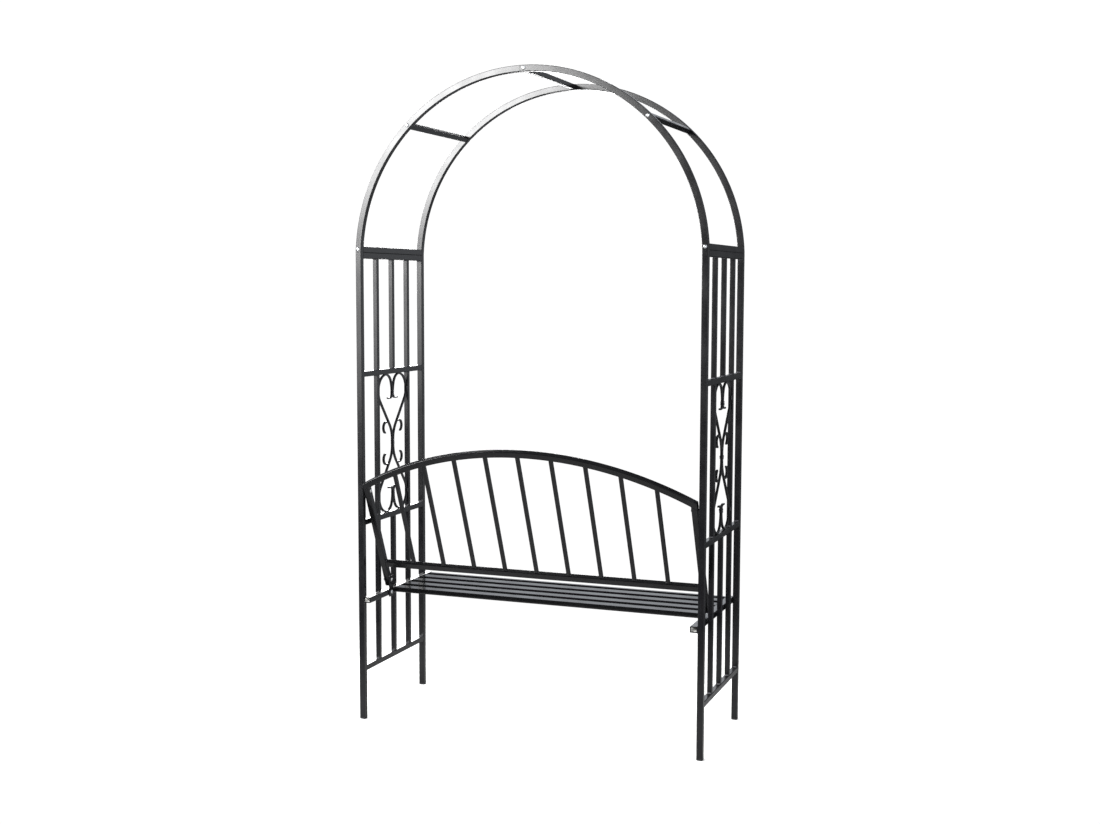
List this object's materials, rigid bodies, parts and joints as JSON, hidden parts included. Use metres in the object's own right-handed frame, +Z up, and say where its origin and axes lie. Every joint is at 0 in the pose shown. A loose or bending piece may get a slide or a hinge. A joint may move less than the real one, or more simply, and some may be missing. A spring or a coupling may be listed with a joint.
{
  "type": "arbour seat",
  "caption": "Metal garden arch with a built-in bench: barred side panels with scrollwork, round-topped double arch, slatted seat and a leaning slatted back.",
  "frame": {"origin": "on the ground under the middle of the arbour's bounding box", "axes": "+Z up, +X to the left of someone who sits on the bench, -Y the way they face"},
  "size_m": [1.14, 0.5186, 2.05],
  "materials": {
    "coated_steel": "fine-textured charcoal powder coat",
    "zinc_fixings": "bright zinc plate",
    "foot_caps": "moulded black plastic",
    "inner_sleeves": "thin charcoal powder coat"
  },
  "bodies": {
    "root": {"arch_bolts": "zinc_fixings", "arch_sleeves": "inner_sleeves", "arch_tube_front_left": "coated_steel", "arch_tube_front_right": "coated_steel", "arch_tube_rear_left": "coated_steel", "arch_tube_rear_right": "coated_steel", "back_bolts": "zinc_fixings", "back_bottom_rail": "coated_steel", "back_slats": "coated_steel", "back_spacers": "zinc_fixings", "back_top_rail": "coated_steel", "back_upright_left": "coated_steel", "back_upright_right": "coated_steel", "crossbar_base_left": "coated_steel", "crossbar_base_right": "coated_steel", "crossbar_mid_left": "coated_steel", "crossbar_mid_right": "coated_steel", "crossbar_top": "coated_steel", "foot_cap_front_left": "foot_caps", "foot_cap_front_right": "foot_caps", "foot_cap_rear_left": "foot_caps", "foot_cap_rear_right": "foot_caps", "joining_plate_left": "coated_steel", "joining_plate_right": "coated_steel", "panel_bottom_rail_left": "coated_steel", "panel_bottom_rail_right": "coated_steel", "panel_lower_bars_left": "coated_steel", "panel_lower_bars_right": "coated_steel", "panel_middle_bars_left": "coated_steel", "panel_middle_bars_right": "coated_steel", "panel_middle_rail_left": "coated_steel", "panel_middle_rail_right": "coated_steel", "panel_top_rail_left": "coated_steel", "panel_top_rail_right": "coated_steel", "panel_upper_bars_left": "coated_steel", "panel_upper_bars_right": "coated_steel", "panel_upper_rail_left": "coated_steel", "panel_upper_rail_right": "coated_steel", "plate_bolts": "zinc_fixings", "plate_nuts": "zinc_fixings", "post_front_left": "coated_steel", "post_front_right": "coated_steel", "post_rear_left": "coated_steel", "post_rear_right": "coated_steel", "post_spigots": "inner_sleeves", "scroll_curls_left": "coated_steel", "scroll_curls_right": "coated_steel", "scroll_strip_front_left": "coated_steel", "scroll_strip_front_right": "coated_steel", "scroll_strip_rear_left": "coated_steel", "scroll_strip_rear_right": "coated_steel", "seat_front_tube": "coated_steel", "seat_rail_left": "coated_steel", "seat_rail_right": "coated_steel", "seat_slat_front": "coated_steel", "seat_slat_rear": "coated_steel", "seat_slat_second": "coated_steel", "seat_slat_third": "coated_steel"}
  },
  "joints": []
}
